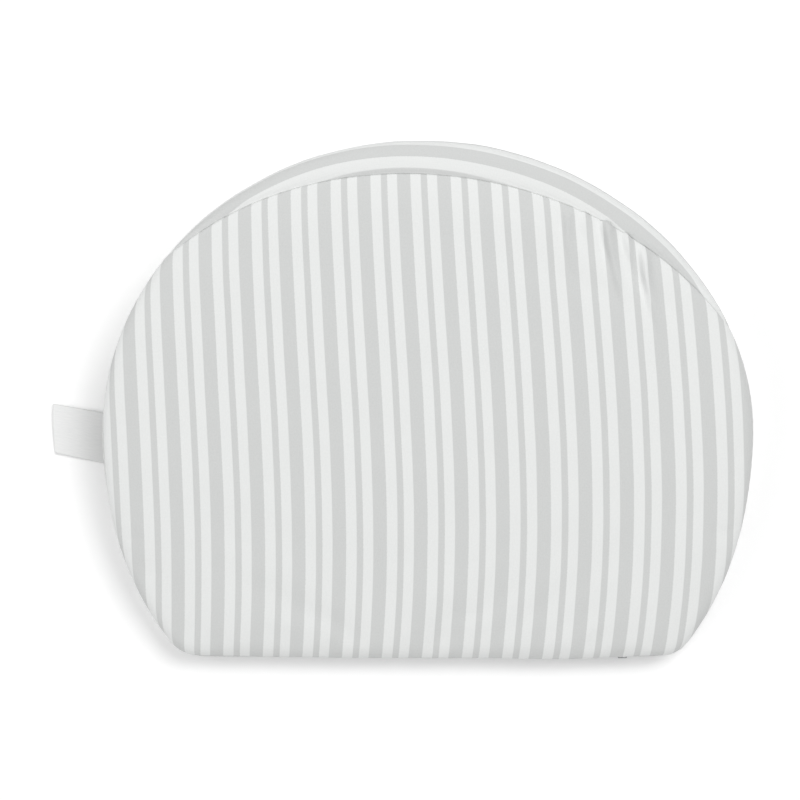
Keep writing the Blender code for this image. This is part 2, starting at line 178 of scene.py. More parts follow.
def filled(ring):
    """A square grid of plan points inside a ring of stations, each the mean of its neighbours."""
    n = side_count
    ring = np.vstack([ring, ring[:1]])
    grid = np.zeros((n + 1, n + 1, ring.shape[1]))
    grid[:, n] = ring[:n + 1]
    grid[n, ::-1] = ring[n:2 * n + 1]
    grid[::-1, 0] = ring[2 * n:3 * n + 1]
    grid[0, :] = ring[3 * n:4 * n + 1]
    share = np.linspace(0, 1, n + 1)[:, None]
    for i in range(1, n):
        grid[i, 1:-1] = (grid[i, 0] + (grid[i, n] - grid[i, 0]) * share)[1:-1]
    for _ in range(600):
        grid[1:-1, 1:-1] = (grid[:-2, 1:-1] + grid[2:, 1:-1] + grid[1:-1, :-2] + grid[1:-1, 2:]) / 4
    return grid


def welded(points, faces, *extra):
    """Points at the same place made one; the faces and each point's extra values follow."""
    keys = np.round(points / 1e-6).astype(np.int64)
    _, first, back = np.unique(keys, axis=0, return_index=True, return_inverse=True)
    back = back.reshape(-1)
    return (points[first], back[faces]) + tuple(values[first] for values in extra) + (back,)


def mesh_piece(name, points, faces, cloth=None):
    """A smooth-shaded object from arrays; cloth is each point's place on the flat cloth, as a UV map."""
    mesh = bpy.data.meshes.new(name)
    mesh.from_pydata(points.tolist(), [], [list(face) for face in faces])
    if cloth is not None:
        corner = np.zeros(len(mesh.loops), np.int32)
        mesh.loops.foreach_get("vertex_index", corner)
        layer = mesh.uv_layers.new(name="cloth")
        layer.uv.foreach_set("vector", cloth[corner].astype(np.float32).ravel())
    mesh.shade_smooth()
    mesh.update()
    piece = bpy.data.objects.new(name, mesh)
    scene.collection.objects.link(piece)
    return piece


def srgb(code):
    """An sRGB hex colour as the linear red, green, blue and alpha that a shader takes."""
    parts = np.array([int(code[i:i + 2], 16) / 255 for i in (1, 3, 5)])
    linear = np.where(parts <= 0.04045, parts / 12.92, ((parts + 0.055) / 1.055) ** 2.4)
    return (*linear.tolist(), 1.0)


def add_node(tree, kind, inputs, **settings):
    """One shader node with its settings; an input is a value, or another node's output to link."""
    made = tree.nodes.new(kind)
    for name, value in settings.items():
        setattr(made, name, value)
    for name, value in inputs.items():
        if isinstance(value, bpy.types.NodeSocket):
            tree.links.new(value, made.inputs[name])
        else:
            made.inputs[name].default_value = value
    return made


def start_material(name, roughness, **sockets):
    """A material with its Principled shader, whose plain values are set on its own sockets."""
    material = bpy.data.materials.new(name)
    material.use_nodes = True
    shader = material.node_tree.nodes["Principled BSDF"]
    shader.inputs["Roughness"].default_value = roughness
    for socket, value in sockets.items():
        shader.inputs[socket.replace("_", " ")].default_value = value
    return material, material.node_tree, shader


def mixed(tree, factor, dark, light):
    """Two colours mixed by a factor; each is a hex code or another node's output."""
    ends = [srgb(colour) if isinstance(colour, str) else colour for colour in (dark, light)]
    return add_node(tree, "ShaderNodeMix", {0: factor, 6: ends[0], 7: ends[1]},
                    data_type="RGBA").outputs[2]


def maths(tree, operation, *values):
    """The result of one arithmetic node; each value is a number or another node's output."""
    return add_node(tree, "ShaderNodeMath", dict(enumerate(values)), operation=operation).outputs[0]


def coloured(tree, shader, factor, dark, light):
    """The shader's colour, mixed from two by a factor."""
    tree.links.new(mixed(tree, factor, dark, light), shader.inputs["Base Color"])


def bumped(tree, shader, height, strength, distance):
    """Fine relief on the shader's normal; distance is the relief's depth in metres."""
    bump = add_node(tree, "ShaderNodeBump", {"Height": height, "Strength": strength,
                                            "Distance": distance})
    tree.links.new(bump.outputs["Normal"], shader.inputs["Normal"])


def cloth_mm(tree):
    """A point's place on the flat cloth, in millimetres."""
    cloth = add_node(tree, "ShaderNodeUVMap", {}, uv_map="cloth").outputs["UV"]
    return add_node(tree, "ShaderNodeVectorMath", {0: cloth, 1: (1000, 1000, 1000)},
                    operation="MULTIPLY").outputs["Vector"]


def noise(tree, place, scale, detail, roughness=0.5):
    """Smooth noise between 0 and 1, in patches of about one over the scale."""
    return add_node(tree, "ShaderNodeTexNoise", {"Vector": place, "Scale": scale, "Detail": detail,
                                                 "Roughness": roughness}).outputs["Fac"]


def foam_material():
    """Polyurethane foam, band-knife cut: cream, matte, with open cells of about a millimetre."""
    material, tree, shader = start_material("cut_polyurethane_foam", 0.95)
    place = add_node(tree, "ShaderNodeTexCoord", {}).outputs["Object"]
    cells = add_node(tree, "ShaderNodeTexVoronoi", {"Vector": place, "Scale": 1 / 0.0012})
    coloured(tree, shader, cells.outputs["Distance"], "#e0d4ab", "#f1e9cb")
    bumped(tree, shader, cells.outputs["Distance"], 0.5, 0.0005)
    return material


points, outward = d_outline(zip_room)
quarter = (edge_round - foam_depth) * math.pi / 2
wall = wall_heights(points, outward, foam_depth, foam_depth)
travel = up_and_over(wall, quarter, 11)
sides = skin(points, outward, foam_depth, travel)
top = filled(sides[:, -1, :2])
top = np.dstack([top, face_height(top[:, :, 1], foam_depth)])
base = filled(sides[:, 0, :2])
base = np.dstack([base, np.full(base.shape[:2], foam_depth)])
count = len(points) * travel.shape[1]
square = side_count + 1
faces = np.vstack([grid_faces(len(points), travel.shape[1], wrap=True),
                   grid_faces(square, square, first=count)[:, ::-1],
                   grid_faces(square, square, first=count + square * square)])
foam_points, foam_faces, _ = welded(np.vstack([sides.reshape(-1, 3), top.reshape(-1, 3),
                                               base.reshape(-1, 3)]), faces)
foam = mesh_piece("foam_block", foam_points, foam_faces)
foam.data.materials.append(foam_material())
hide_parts("foam_core")
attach(foam, "pillow")


# -------------------------------- liner
# A thin white nonwoven liner is sewn shut round the foam, so that the cover slides on and off.  It
# has a sloping top panel, a base panel, one gusset round the curve and a strip along the thin edge.

liner_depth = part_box("liner_base_panel")[0].z
liner_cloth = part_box("liner_base_panel")[1].z - liner_depth
seam_rows = np.array([0, 0.8, 1.6, 2.6]) / 1000      # close rows beside a seam, metres from it
dip_reach = 0.0015             # how fast the dip beside a seam dies away


def rows_between(length, count, both=False):
    """Distances from a seam for each station: close rows first, then even rows to the length."""
    close = np.tile(seam_rows, (len(length), 1))
    share = np.linspace(0, 1, count + 1)[1:]
    last = length - seam_rows[-1] if both else length
    even = seam_rows[-1] + (last - seam_rows[-1])[:, None] * share
    rows = np.hstack([close, even])
    if both:
        rows = np.hstack([rows, length[:, None] - seam_rows[::-1][1:]])
    return rows


def sloping_panel(points, outward, seam, ring, depth, dip, rows):
    """A D-shaped panel over the slope: rows inwards from its seam to a ring, then a square grid.

    Gives the points, the faces, each point's place on the flat cloth, and its distance from the
    seam.  The cloth dips into the seam by `dip`, a bell as wide as dip_reach.
    """
    away = rows_between(ring - seam, rows)
    travel = seam[:, None] + away
    sunk = depth + dip * np.exp(-(away / dip_reach) ** 2)
    band = skin(points, outward, sunk, travel)
    spare = (edge_round - depth) * (math.pi / 2 - 1)
    flat = points[:, None, :] - outward[:, None, :] * (depth + travel - spare)[:, :, None]
    inner = filled(np.hstack([band[:, -1, :2], flat[:, -1]]))
    inner_place = np.dstack([inner[:, :, :2], face_height(inner[:, :, 1], depth)])
    count = away.size
    faces = np.vstack([grid_faces(len(points), away.shape[1], wrap=True),
                       grid_faces(square, square, first=count)[:, ::-1]])
    place = np.vstack([band.reshape(-1, 3), inner_place.reshape(-1, 3)])
    plan = np.vstack([flat.reshape(-1, 2), inner[:, :, 2:].reshape(-1, 2)])
    distance = np.concatenate([away.ravel(), np.full(square * square, 0.05)])
    return welded(place, faces, plan, distance)[:4]


def finish_cloth(piece, material, thickness):
    """A cloth piece's material, and its thickness grown inwards from the outer surface."""
    piece.data.materials.append(material)
    solid = piece.modifiers.new("cloth", "SOLIDIFY")
    solid.thickness = thickness
    solid.offset = -1


def settle_sheet(piece, node, slot, flat, area, rests_on):
    """The part a cloth panel stands for is hidden, and the panel is attached to the pillow."""
    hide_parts(node)
    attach(piece, "pillow")


def plan_area(ring):
    """Area inside a closed ring of plan points."""
    x, y = ring[:, 0], ring[:, 1]
    return abs(np.sum(x * np.roll(y, -1) - y * np.roll(x, -1))) / 2


def nonwoven_material():
    """Spun-bonded polypropylene: white, faintly shiny, pressed with a grid of bond points at 1.5 mm."""
    material, tree, shader = start_material("spunbond_nonwoven", 0.7, Sheen_Weight=0.1)
    place = add_node(tree, "ShaderNodeTexCoord", {}).outputs["Object"]
    bonds = add_node(tree, "ShaderNodeTexVoronoi", {"Vector": place, "Scale": 1 / 0.0015,
                                                    "Randomness": 0.15})
    fibres = noise(tree, place, 1 / 0.002, 4.0)
    coloured(tree, shader, fibres, "#dfe1e2", "#f4f5f5")
    bumped(tree, shader, bonds.outputs["Distance"], 0.4, 0.0002)
    return material


liner_white = nonwoven_material()
liner_quarter = (edge_round - liner_depth) * math.pi / 2
liner_seam = np.full(len(points), liner_quarter)
place, faces, plan, _ = sloping_panel(points, outward, liner_seam + 0.0001, liner_seam + 0.012,
                                      liner_depth, 0.0, 4)
liner_top = mesh_piece("liner_top", place, faces, plan)
area = plan_area(points) / slope_cos
size = (float(np.ptp(plan[:, 0])), float(np.ptp(plan[:, 1])) / slope_cos)
settle_sheet(liner_top, "liner_top_panel", "liner_cloth", size, area, [foam])

rim = points - outward * liner_depth
base = filled(rim)
base_place = np.dstack([base, np.full(base.shape[:2], liner_depth)]).reshape(-1, 3)
liner_base = mesh_piece("liner_base", base_place, grid_faces(side_count + 1, side_count + 1),
                        base.reshape(-1, 2))
settle_sheet(liner_base, "liner_base_panel", "liner_cloth", tuple(np.ptp(rim, axis=0).tolist()),
             plan_area(rim), [foam])

straight_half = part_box("cover_edge_strip_upper")[1].x


def split_runs(points, outward):
    """Stations of the straight run, up to where its ends start to turn, and those of the curve."""
    flat_front = (np.abs(points[:, 0]) < straight_half + 0.003) & (outward[:, 1] < -0.99)
    front = np.flatnonzero(flat_front)
    return front, np.arange(front[-1], front[0] + len(points) + 1) % len(points)


def strip_size(widths, along):
    """A strip's flat size and area, from its widths at each length along it."""
    area = np.sum((widths[1:] + widths[:-1]) / 2 * np.diff(along))
    return (float(widths.max()), float(along[-1])), float(area)


front_run, curve_run = split_runs(points, outward)
liner_foot = liner_depth + liner_cloth
for name, node, run in (("liner_side", "liner_gusset", curve_run),
                        ("liner_front", "liner_edge_strip", front_run)):
    tall = wall_heights(points[run], outward[run], liner_depth, liner_foot)
    travel = up_and_over(tall, liner_quarter, 8)
    grid = skin(points[run], outward[run], liner_depth, travel)
    along = lengths(points[run])
    cloth = np.dstack([travel, np.tile(along[:, None], (1, travel.shape[1]))]).reshape(-1, 2)
    side = mesh_piece(name, grid.reshape(-1, 3), grid_faces(*grid.shape[:2]), cloth)
    settle_sheet(side, node, "liner_cloth", *strip_size(tall + liner_quarter, along), [foam])
for name in ("liner_top", "liner_base", "liner_side", "liner_front"):
    finish_cloth(bpy.data.objects[name], liner_white, liner_cloth)


# -------------------------------- cover: the shell before details
# The zip-off cover is striped cotton jersey, cut as a D-shaped face, a D-shaped back and one gusset
# round the curve.  At the crown the gusset is pulled over the edge, so its seam lies on the face.

cover_cloth = 0.0009
seam_dip = 0.0011              # the two raw edges turn in here, and the cloth sinks into the seam
back_foot = 0.0013             # height of the seam between the gusset and the back
roll_inset = 0.0204            # furthest the front seam sits inside the outline
roll_centre = math.radians(7.9)
roll_half = math.radians(59.6)
ring_margin = 0.017            # from the outline, or the rolled seam, to where the face is a plain slope
points, outward = d_outline()
clock = np.arctan2(points[:, 0] / half_width, (points[:, 1] - widest_y) / crown_reach)


def travel_at(inset):
    """Way along the skin at a given inset from the outline: an arc first, then straight on."""
    on_round = edge_round * np.arccos(np.clip(1 - inset / edge_round, 0, 1))
    return np.where(inset < edge_round, on_round, edge_round * (math.pi / 2 - 1) + inset)


def bulged(place):
    """The face's edge leans out over the zip by 2 mm in the middle and 3 mm towards its slider."""
    x, y, z = place.T
    across = np.clip(1 - (x / 0.15) ** 2, 0, None) + 0.75 * np.exp(-((x - 0.09) / 0.04) ** 2)
    up = np.clip((z - 0.017) / 0.009, 0, 1)
    near = np.clip(1 - (y - front_y) / 0.03, 0, 1) ** 2
    return place - np.column_stack([0 * x, 0.002 * across * up ** 2 * (3 - 2 * up) * near, 0 * x])


turn_away = (clock - roll_centre) / roll_half * math.pi / 2
rolled = roll_inset * np.where(np.abs(turn_away) < math.pi / 2, np.cos(turn_away), 0.0)
seam = travel_at(rolled)
face_place, face_faces, face_plan, face_distance = sloping_panel(
    points, outward, seam, travel_at(rolled + ring_margin), 0.0, seam_dip, 6)

tall = wall_heights(points, outward, 0.0, back_foot) + seam
away = rows_between(tall, 15, both=True)[:, ::-1]
sunk = seam_dip * (np.exp(-(away / dip_reach) ** 2) + np.exp(-((tall[:, None] - away) / dip_reach) ** 2))
wall_travel = seam[:, None] - away
wall_place = skin(points, outward, sunk, wall_travel)
wall_shape = away.shape

back_away = np.tile(np.array([0, 0.8, 1.6, 2.6, 4.5, 8, 13, 18]) / 1000, (len(points), 1))
back_inset = np.hypot(back_away, seam_dip)
back_plan = points[:, None, :] - outward[:, None, :] * back_inset[:, :, None]
back_rise = back_foot * np.exp(-(back_away / dip_reach) ** 2)
back_inner = filled(back_plan[:, -1])
back_place = np.vstack([np.dstack([back_plan, back_rise]).reshape(-1, 3),
                        np.dstack([back_inner, np.zeros(back_inner.shape[:2])]).reshape(-1, 3)])
back_faces = np.vstack([grid_faces(*back_away.shape, wrap=True)[:, ::-1],
                        grid_faces(square, square, first=back_away.size)])
back_place, back_faces, _ = welded(back_place, back_faces)

shell = np.vstack([face_place, wall_place.reshape(-1, 3), back_place])
shell = bulged(shell)
split = np.cumsum([len(face_place), wall_place.shape[0] * wall_place.shape[1]])
shell_faces = np.vstack([face_faces, grid_faces(*wall_shape, wrap=True, first=split[0]),
                         back_faces + split[1]])
wall_free = np.minimum(away, tall[:, None] - away)
wall_free[outward[:, 1] < -0.97] = 0.0
free_way = np.concatenate([face_distance, wall_free.ravel(), np.zeros(len(back_place))])
# the room each point has to move: 4 mm on the face, 1.5 on the gusset, 1 on the back, less by a seam
room = np.repeat([0.004, 0.0015, 0.001], [split[0], split[1] - split[0], len(back_place)])
room = room * np.tanh(free_way / 0.015) + 1e-6
shell_points, shell_faces, free_way, room, shell_back = welded(shell, shell_faces, free_way, room)


settling = 20                  # simulation steps, after which the cloth lies nearly still


def puffed(points, faces, free_way, most):
    """Cloth simulation of the closed cover, sewn lines held and a light pressure inside.

    Each point's move is eased to stay under `most`, its room in metres: most times the hyperbolic
    tangent of move over most.
    """
    former = mesh_piece("cover_former", points, faces)
    held = former.vertex_groups.new(name="sewn")
    held.add(np.flatnonzero(free_way < 0.002).tolist(), 1.0, "REPLACE")
    cloth = former.modifiers.new("cloth", "CLOTH")
    settings = cloth.settings
    settings.quality = 4
    settings.mass = 0.12
    settings.tension_stiffness = 20
    settings.compression_stiffness = 12
    settings.shear_stiffness = 8
    settings.bending_stiffness = 3
    settings.air_damping = 3
    settings.shrink_min = -0.003
    settings.use_pressure = True
    settings.uniform_pressure_force = 1.2
    settings.vertex_group_mass = "sewn"
    settings.effector_weights.gravity = 0
    cloth.point_cache.frame_start = 1
    cloth.point_cache.frame_end = settling
    for step in range(1, settling + 1):
        scene.frame_set(step)
    result = former.evaluated_get(bpy.context.evaluated_depsgraph_get()).to_mesh()
    moved = np.zeros(len(result.vertices) * 3)
    result.vertices.foreach_get("co", moved)
    moved = moved.reshape(-1, 3) - points
    bpy.data.objects.remove(former)
    scene.frame_set(1)
    length = np.linalg.norm(moved, axis=1)
    calm = most * np.tanh(length / most) / np.maximum(length, 1e-9)
    return points + moved * calm[:, None]


shell_points = puffed(shell_points, shell_faces, free_way, room)
shell_points[:, 2] = np.maximum(shell_points[:, 2], 0.0)
shell = shell_points[shell_back]


def refine(piece, distance):
    """One Catmull-Clark subdivision, applied; each point's distance from its seam goes with it."""
    layer = piece.data.attributes.new("seam_distance", "FLOAT", "POINT")
    layer.data.foreach_set("value", distance.astype(np.float32))
    piece.modifiers.new("finer", "SUBSURF").levels = 1
    evaluated = piece.evaluated_get(bpy.context.evaluated_depsgraph_get())
    mesh = bpy.data.meshes.new_from_object(evaluated)
    piece.modifiers.clear()
    piece.data = mesh


# -------------------------------- cover: folds, puckers and jersey
# Hand-held jersey is never flat: it puckers along its seams, drags into short folds at the upper
# right, where the gusset pulls it over the crown, and lies in faint waves everywhere else.

folds = (                      # start, end, half width, height: all in metres, on the plan
    ((0.1095, 0.1245), (0.1225, 0.0640), 0.0028, 0.0056),
    ((0.1235, 0.1150), (0.1310, 0.0840), 0.0021, 0.0040),
    ((0.1360, 0.0890), (0.1470, 0.0450), 0.0026, 0.0042),
    ((0.0870, 0.1165), (0.0910, 0.0840), 0.0023, 0.0024),
    ((0.1000, 0.1265), (0.0990, 0.1035), 0.0020, 0.0022),
    ((0.0690, 0.1350), (0.0695, 0.1180), 0.0017, 0.0012),
)


def fold_depth(x, y):
    """Each fold is a bank, steeper on its left, beside a shallow groove: bells across, tapered along."""
    total = np.zeros_like(x)
    for start, end, half, high in folds:
        start, end = np.array(start), np.array(end)
        length = np.linalg.norm(end - start)
        ahead = (end - start) / length
        along = ((x - start[0]) * ahead[0] + (y - start[1]) * ahead[1]) / length
        off = ((x - start[0]) * -ahead[1] + (y - start[1]) * ahead[0]
               + 0.0012 * np.sin(3.5 * along)) / half
        taper = np.clip(1.15 - np.clip(along, 0, None), 0, 1) ** 1.2 * (along > -0.25)
        taper *= np.clip(1 + np.minimum(along, 0) * 4, 0, 1)
        bank = (off - 1.2) * np.where(off < 1.2, 1.3, 0.7)
        total += high * taper * (np.exp(-bank ** 2) - 0.3 * np.exp(-(off + 0.3) ** 2))
    return total


def waves(x, y):
    """Faint unevenness of the cloth: a few long sine waves at odd angles, 0.35 mm high in all."""
    total = np.zeros_like(x)
    for turn, length, shift, height in ((0.4, 0.061, 0.2, 0.12), (1.3, 0.043, 1.9, 0.10),
                                        (2.2, 0.083, 4.0, 0.14), (2.9, 0.029, 5.1, 0.05)):
        phase = (x * math.cos(turn) + y * math.sin(turn)) / length * 2 * math.pi + shift
        total += height * 0.001 * np.sin(phase)
    return total


def puckers(run, distance, height):
    """Gathers along a seam: ripples whose pitch wanders between 6 and 9 mm, gone 10 mm away."""
    ripple = np.sin(run / 0.0075 * 2 * math.pi + 1.6 * np.sin(run / 0.047) + 1.1 * np.sin(run / 0.019))
    swell = 0.55 + 0.45 * np.sin(run / 0.031 + 0.8) * np.sin(run / 0.083)
    return height * ripple * swell * np.exp(-distance / 0.0045) * (1 - np.exp(-distance / 0.0010))


def detail(piece, height_of):
    """Moves each point along its normal by height_of(place, distance from the seam)."""
    mesh = piece.data
    place = np.zeros(len(mesh.vertices) * 3)
    mesh.vertices.foreach_get("co", place)
    place = place.reshape(-1, 3)
    normal = np.zeros(len(mesh.vertices) * 3)
    mesh.vertex_normals.foreach_get("vector", normal)
    distance = np.zeros(len(mesh.vertices))
    mesh.attributes["seam_distance"].data.foreach_get("value", distance)
    place = place + normal.reshape(-1, 3) * height_of(place, distance)[:, None]
    mesh.vertices.foreach_set("co", place.ravel())
    mesh.shade_smooth()
    mesh.update()


def run_round(place):
    """Rough length round the D from the crown, clockwise: the angle at the middle times a radius."""
    return np.arctan2(place[:, 0], place[:, 1] - widest_y) * half_width


stripe_period = 0.02645        # wide grey 8.6, white 6.9, narrow grey 4.2 and white 6.8 mm


def stripes_across(plan):
    """Place across the striped cloth at a plan point, in metres.

    The panel isn't sewn on square: the stripes lean, spread at the crown and bow to the right, so
    the count of stripes is a cubic in x and y, here in tenths of a metre.
    """
    x, y = plan[:, 0] / 0.1, plan[:, 1] / 0.1
    count = 0.381 + 3.782 * x + 0.222 * y - 0.021 * x ** 2 + 0.042 * x * y + 0.072 * y ** 2
    return (count + 0.038 * x * y ** 2 - 0.044 * y ** 3) * stripe_period


def jersey_material():
    """Single jersey in brushed cotton: matte and softly fuzzy, heather grey and off-white stripes.

    The stripes are knitted across the cloth.  Its V-shaped loops are drawn 1.2 mm apart, coarser
    than the real 0.7 mm, so that they show; heather flecks are 0.5 to 2 mm long.
    """
    material, tree, shader = start_material("striped_cotton_jersey", 0.92, Sheen_Weight=0.15,
                                            Sheen_Roughness=0.6)
    mm = cloth_mm(tree)
    flecks = noise(tree, mm, 0.9, 3.0, 0.6)
    drift = noise(tree, mm, 0.02, 1.0)
    parts = add_node(tree, "ShaderNodeSeparateXYZ", {"Vector": mm})
    edge = maths(tree, "MULTIPLY_ADD", flecks, 0.5, parts.outputs["X"])
    wander = maths(tree, "MULTIPLY_ADD", drift, 0.6, edge)
    period = stripe_period * 1000
    place = maths(tree, "MULTIPLY_ADD", wander, 1 / period, -0.55 / period)
    ramp = add_node(tree, "ShaderNodeValToRGB", {"Fac": maths(tree, "FRACT", place)})
    edges = np.array([8.6, 15.5, 19.7]) / period      # where each stripe ends, in millimetres
    soft = 0.22 / period                              # half the width over which a stripe fades
    stops = [0.0] + [float(e + side * soft) for e in edges for side in (-1, 1)] + [1 - 2 * soft, 1.0]
    greys = [1, 1, 0, 0, 1, 1, 0, 0, 1]
    while len(ramp.color_ramp.elements) < len(stops):
        ramp.color_ramp.elements.new(0.5)
    for element, stop, grey in zip(ramp.color_ramp.elements, stops, greys):
        element.position = stop
        element.color = (grey, grey, grey, 1)
    white = mixed(tree, flecks, "#e9ebea", "#f2f3f2")
    grey = mixed(tree, flecks, "#cfd1d0", "#dcdddc")
    coloured(tree, shader, ramp.outputs["Color"], white, grey)
    wale = maths(tree, "SINE", maths(tree, "MULTIPLY", parts.outputs["X"], math.pi / 1.2))
    wale = maths(tree, "ABSOLUTE", wale)
    climb = maths(tree, "MULTIPLY", parts.outputs["Y"], 2 * math.pi / 0.9)
    loops = maths(tree, "SINE", maths(tree, "MULTIPLY_ADD", wale, 3.4, climb))
    knit = maths(tree, "MULTIPLY_ADD", loops, 0.3, wale)
    height = maths(tree, "MULTIPLY_ADD", flecks, 2.2, knit)
    bumped(tree, shader, height, 0.3, 0.0002)
    return material


jersey = jersey_material()
face_cloth = np.column_stack([stripes_across(face_plan), face_plan[:, 1] / slope_cos])
cover_face = mesh_piece("cover_face", shell[:split[0]], face_faces, face_cloth)
refine(cover_face, face_distance)
detail(cover_face, lambda place, distance:
       fold_depth(place[:, 0], place[:, 1]) * (1 - np.exp(-distance / 0.0025))
       + waves(place[:, 0], place[:, 1]) * (1 - np.exp(-distance / 0.01))
       + puckers(run_round(place), distance, 0.00022))
flat_ring = points + outward * edge_round * (math.pi / 2 - 1) - outward * rolled[:, None]
settle_sheet(cover_face, "cover_front_panel", "cover_jersey",
             (float(np.ptp(flat_ring[:, 0])), float(np.ptp(flat_ring[:, 1])) / slope_cos),
             plan_area(flat_ring) / slope_cos, [liner_top])

cover_back = mesh_piece("cover_back", shell[split[1]:], back_faces, back_place[:, :2])
settle_sheet(cover_back, "cover_back_panel", "cover_jersey",
             tuple(np.ptp(points, axis=0).tolist()), plan_area(points), [liner_base])

front_run, curve_run = split_runs(points, outward)
along = lengths(points[curve_run])


# the strip is sewn on a little askew, so its stripes lie lower on the left than on the right
turned = clock[curve_run] / math.radians(28)
askew = 0.0024 + np.where(turned < 0, 0.0046 * np.tanh(turned), 0.0018 * np.tanh(2.5 * turned))
spare = edge_round * (math.pi / 2 - 1)
gusset_cloth = np.dstack([wall_travel[curve_run] - spare - askew[:, None],
                          np.tile(along[:, None], (1, wall_shape[1]))]).reshape(-1, 2)
wall_now = shell[split[0]:split[1]].reshape(*wall_shape, 3)
gusset = mesh_piece("cover_gusset_strip", wall_now[curve_run].reshape(-1, 3),
                    grid_faces(len(curve_run), wall_shape[1]), gusset_cloth)
refine(gusset, np.minimum(away, tall[:, None] - away)[curve_run].ravel())
detail(gusset, lambda place, distance: puckers(run_round(place) + 0.004, distance, 0.0002)
       + waves(run_round(place), place[:, 2]) * (1 - np.exp(-distance / 0.01)))
settle_sheet(gusset, "cover_gusset", "cover_jersey", *strip_size(tall[curve_run], along),
             [bpy.data.objects["liner_side"]])
for piece in (cover_face, cover_back, gusset):
    finish_cloth(piece, jersey, cover_cloth)


# -------------------------------- cover: edge strips and their hems
# Two strips of the same jersey close the thin edge, above and below the zip.  Each is turned under
# at the opening and topstitched 2.5 mm from the fold, in pale spun polyester thread.

strip_cloth = 0.0005           # the jersey is pressed thin in its double hem
fold_radius = 0.00065
hem_depth = 0.0034             # how far the turned-in leg reaches
lower_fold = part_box("cover_edge_strip_lower")[1].z
upper_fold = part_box("cover_edge_strip_upper")[0].z
wall_top = edge_height - edge_round
front_points, front_outward = points[front_run], outward[front_run]


def hem_profile(seam_height, fold_height):
    """Depth and height across a strip: a dip at its sewn edge, a flat leg, the fold, and the turned leg."""
    up = math.copysign(1, fold_height - seam_height)
    sewn = [(seam_dip, seam_height), (0.0006, seam_height + 0.0003 * up),
            (0.0002, seam_height + 0.0009 * up), (0.0, seam_height + 0.0017 * up)]
    centre = fold_height - fold_radius * up
    bend = np.linspace(0, math.pi, 9)
    turn = np.column_stack([fold_radius * (1 - np.cos(bend)), centre + fold_radius * up * np.sin(bend)])
    leg = [(2 * fold_radius, centre - hem_depth * up)]
    return np.vstack([sewn, turn, leg])


front_length = float(lengths(front_points)[-1])
front_along = np.linspace(0, front_length, len(front_run))
for name, node, seam_height, fold_height in (
        ("edge_strip_lower", "cover_edge_strip_lower", back_foot, lower_fold),
        ("edge_strip_upper", "cover_edge_strip_upper", wall_top, upper_fold)):
    profile = hem_profile(seam_height, fold_height)
    if fold_height < seam_height:
        profile = profile[::-1]
    plan = front_points[:, None, :] - front_outward[:, None, :] * profile[None, :, :1]
    grid = np.dstack([plan, np.tile(profile[:, 1], (len(front_run), 1))]).reshape(-1, 3)
    over = lengths(profile)
    cloth = np.dstack([np.tile(over + seam_height, (len(front_run), 1)),
                       np.tile(front_along[:, None], (1, len(over)))]).reshape(-1, 2)
    strip = mesh_piece(name, bulged(grid), grid_faces(len(front_run), len(profile)), cloth)
    settle_sheet(strip, node, "cover_jersey", (float(over[-1]), front_length),
                 float(over[-1]) * front_length, [bpy.data.objects["liner_front"]])
    finish_cloth(strip, jersey, strip_cloth)


def thread_material():
    """Spun polyester sewing thread: off-white, two plies twisted at 0.8 mm, softly shiny."""
    material, tree, shader = start_material("spun_polyester_thread", 0.6, Sheen_Weight=0.2)
    place = add_node(tree, "ShaderNodeTexCoord", {}).outputs["Object"]
    ply = add_node(tree, "ShaderNodeTexWave", {"Vector": place, "Scale": 1 / 0.0008 / 2 / math.pi,
                                              "Distortion": 0.5}, bands_direction="DIAGONAL")
    coloured(tree, shader, ply.outputs["Fac"], "#dcdedd", "#f3f4f3")
    return material


thread = thread_material()


stitch_pitch = 0.003
stitch_length = 0.0023
stitch_radius = 0.00022
stitch_inset = 0.0025          # from the strip's fold
stitch_proud = 0.00015         # its middle stands off the strip's surface
stitch_half = straight_half - 0.004
stitch_x = np.arange(-stitch_half, stitch_half, stitch_pitch)
count = len(stitch_x)
along_share = np.linspace(0, 1, 5)
turn = np.linspace(0, 2 * math.pi, 7)[:-1]
thick = stitch_radius * np.sqrt(np.sin(np.clip(along_share, 0.02, 0.98) * math.pi))
capsule = np.dstack([np.tile((along_share - 0.5) * stitch_length, (len(turn), 1)),
                     -np.sin(turn)[:, None] * thick, np.cos(turn)[:, None] * thick])
capsule_faces = grid_faces(*capsule.shape[:2], wrap=True)
capsule_size = capsule.shape[0] * capsule.shape[1]
rim = np.arange(0, capsule_size, len(along_share))
shift = capsule_size * np.arange(count)
for name, height in (("topstitch_lower", lower_fold - stitch_inset),
                     ("topstitch_upper", upper_fold + stitch_inset)):
    line = bulged(np.column_stack([stitch_x, np.full(count, front_y - stitch_proud),
                                   np.full(count, height)]))
    place = line[:, None, None, :] + capsule[None]
    faces = (capsule_faces[None] + shift[:, None, None]).reshape(-1, 4).tolist()
    ends = np.vstack([rim[::-1] + shift[:, None], rim + len(along_share) - 1 + shift[:, None]])
    row = mesh_piece(name, place.reshape(-1, 3), faces + ends.tolist())
    row.data.materials.append(thread)
    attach(row, "pillow")


# -------------------------------- zip: tapes and nylon coils
# A size 5 coil zip: two woven polyester tapes, each with a nylon coil sewn along one edge.  The
# coils are wound at 1.3 mm, pressed to an oval, and their turns lock alternately across the gap.

tape_reach = 0.0102            # width of each tape, most of it behind its strip
tape_tail = 0.009              # plain tape past each end, tucked behind the gusset
tape_cloth = 0.0005
coil_pitch = 0.0013
coil_wire = 0.00023            # radius of the monofilament
coil_lock = 0.0010             # how far each coil reaches past its tape, between the other's turns


